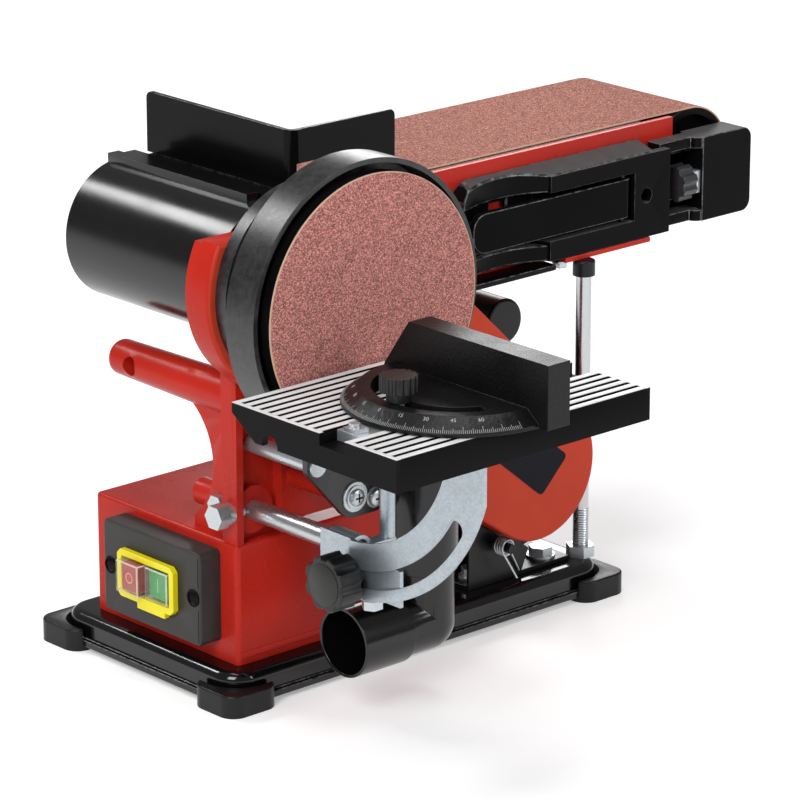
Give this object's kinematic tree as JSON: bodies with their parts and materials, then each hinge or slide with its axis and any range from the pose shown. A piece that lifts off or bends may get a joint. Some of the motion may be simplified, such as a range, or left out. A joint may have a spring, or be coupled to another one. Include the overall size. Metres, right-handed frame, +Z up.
{
  "type": "belt and disc sander",
  "caption": "Bench belt and disc sander: swing-up belt arm with lever-tensioned idler, sanding disc with tilting table and mitre gauge, on a pressed base with motor and switch.",
  "frame": {"origin": "on the floor plane of the feet, under the middle of the machine's outline", "axes": "+Z up, +X along the belt arm to its idler end, -Y the way the sanding disc faces"},
  "size_m": [0.4938, 0.3914, 0.3283],
  "materials": {
    "red_paint": "gloss paint",
    "orange_paint": "gloss paint",
    "black_paint": "gloss paint",
    "black_sheet": "satin paint",
    "black_plastic": "fine moulded grain",
    "black_cast": "hammered paint",
    "table_alloy": "machined ridges, black paint between",
    "alloy": "turned",
    "zinc": "bright zinc plate",
    "steel": "ground",
    "rubber": "matte",
    "belt_abrasive": "coarse grit on cloth",
    "disc_abrasive": "coarse grit on paper",
    "yellow_plastic": "gloss",
    "green_plastic": "gloss",
    "stop_plastic": "gloss, clear boot"
  },
  "bodies": {
    "base": {"base_plate": "black_paint", "foot_front_left": "rubber", "foot_front_right": "rubber", "foot_rear_left": "rubber", "foot_rear_right": "rubber", "switch_box": "red_paint", "column": "red_paint", "drive_cover": "orange_paint", "drive_backplate": "black_sheet", "motor_body": "black_paint", "motor_bracket": "black_paint", "motor_capacitor": "black_plastic", "guard": "black_plastic", "guard_fixings": "zinc", "dust_pipe": "black_plastic", "support_rod": "zinc", "rod_cap": "rubber", "base_bolts": "zinc", "tension_spring": "zinc", "switch_plate": "black_plastic", "switch_frame": "yellow_plastic", "shaft_bolts": "zinc", "arbor_bearing": "steel", "drive_belt": "rubber"},
    "disc": {"disc_plate": "alloy", "sanding_disc": "disc_abrasive", "arbor_shaft": "steel", "arbor_pulley": "alloy", "drive_drum": "alloy"},
    "rotor": {"motor_rotor": "steel"},
    "arm": {"arm_frame": "red_paint", "hood": "black_sheet", "work_stop": "black_sheet", "platen": "steel", "sanding_belt": "belt_abrasive", "side_cover": "black_plastic", "bottom_cover": "black_sheet", "lever_pin": "zinc", "far_bearing": "steel", "arm_screws": "zinc"},
    "lever": {"tension_lever": "black_plastic"},
    "carriage": {"end_block": "black_plastic", "idler_axle": "zinc", "tracking_screw": "zinc"},
    "idler": {"idler_drum": "black_plastic"},
    "tracking": {"tracking_knob": "black_plastic"},
    "table_carriage": {"table_shaft": "steel", "table_bracket": "zinc", "bracket_bolts": "zinc"},
    "table": {"table_top": "table_alloy", "quadrant": "zinc", "table_fixings": "zinc"},
    "tilt_lock": {"tilt_knob": "black_plastic"},
    "mitre_slider": {"mitre_bar": "zinc", "mitre_pointer": "zinc"},
    "mitre": {"mitre_head": "black_cast"},
    "mitre_lock": {"mitre_knob": "black_plastic"},
    "start": {"start_button": "green_plastic"},
    "stop": {"stop_button": "stop_plastic"}
  },
  "joints": [
    {"name": "disc_spin", "type": "hinge", "parent": "base", "child": "disc", "pos_m": [-0.14194, -0.04275, 0.2465], "axis": [0, 1, 0], "continuous": true},
    {"name": "motor_spin", "type": "hinge", "parent": "base", "child": "rotor", "pos_m": [0.04806, 0.03525, 0.0925], "axis": [0, 1, 0], "continuous": true},
    {"name": "arm_swivel", "type": "hinge", "parent": "base", "child": "arm", "pos_m": [-0.14194, 0.06225, 0.2465], "axis": [0, -1, 0], "range_deg": [0, 90]},
    {"name": "carriage_slide", "type": "slide", "parent": "arm", "child": "carriage", "axis": [-1, 0, 0], "range_m": [0, 0.008]},
    {"name": "lever_swing", "type": "hinge", "parent": "arm", "child": "lever", "pos_m": [0.13674, 0.04625, 0.2465], "axis": [0, 0, 1], "range_deg": [0, 90]},
    {"name": "idler_spin", "type": "hinge", "parent": "carriage", "child": "idler", "pos_m": [0.21424, 0.06425, 0.2465], "axis": [0, 1, 0], "continuous": true},
    {"name": "tracking_turn", "type": "hinge", "parent": "carriage", "child": "tracking", "pos_m": [0.17324, 0.05025, 0.2385], "axis": [1, 0, 0], "continuous": true},
    {"name": "table_reach", "type": "slide", "parent": "base", "child": "table_carriage", "axis": [0, -1, 0], "range_m": [0, 0.035]},
    {"name": "table_tilt", "type": "hinge", "parent": "table_carriage", "child": "table", "pos_m": [-0.14244, -0.05075, 0.2045], "axis": [1, 0, 0], "range_deg": [0, 45]},
    {"name": "tilt_lock_turn", "type": "hinge", "parent": "table_carriage", "child": "tilt_lock", "pos_m": [-0.17094, -0.05531, 0.1001], "axis": [1, 0, 0], "continuous": true},
    {"name": "mitre_slide", "type": "slide", "parent": "table", "child": "mitre_slider", "axis": [1, 0, 0], "range_m": [-0.06, 0.06]},
    {"name": "mitre_swivel", "type": "hinge", "parent": "mitre_slider", "child": "mitre", "pos_m": [-0.15794, -0.1265, 0.2152], "axis": [0, 0, 1], "range_deg": [-60, 60]},
    {"name": "mitre_lock_turn", "type": "hinge", "parent": "mitre_slider", "child": "mitre_lock", "pos_m": [-0.19994, -0.1265, 0.2152], "axis": [0, 0, 1], "continuous": true},
    {"name": "start_press", "type": "slide", "parent": "base", "child": "start", "axis": [1, 0, 0], "range_m": [0, 0.004], "stiffness_N_per_m": 400},
    {"name": "stop_press", "type": "slide", "parent": "base", "child": "stop", "axis": [1, 0, 0], "range_m": [0, 0.004], "stiffness_N_per_m": 400}
  ],
  "couplings": [
    {"joint": "motor_spin", "follows": "disc_spin", "ratio": 1},
    {"joint": "idler_spin", "follows": "disc_spin", "ratio": 1},
    {"joint": "lever_swing", "follows": "carriage_slide", "rad_per_m": 196.35}
  ]
}
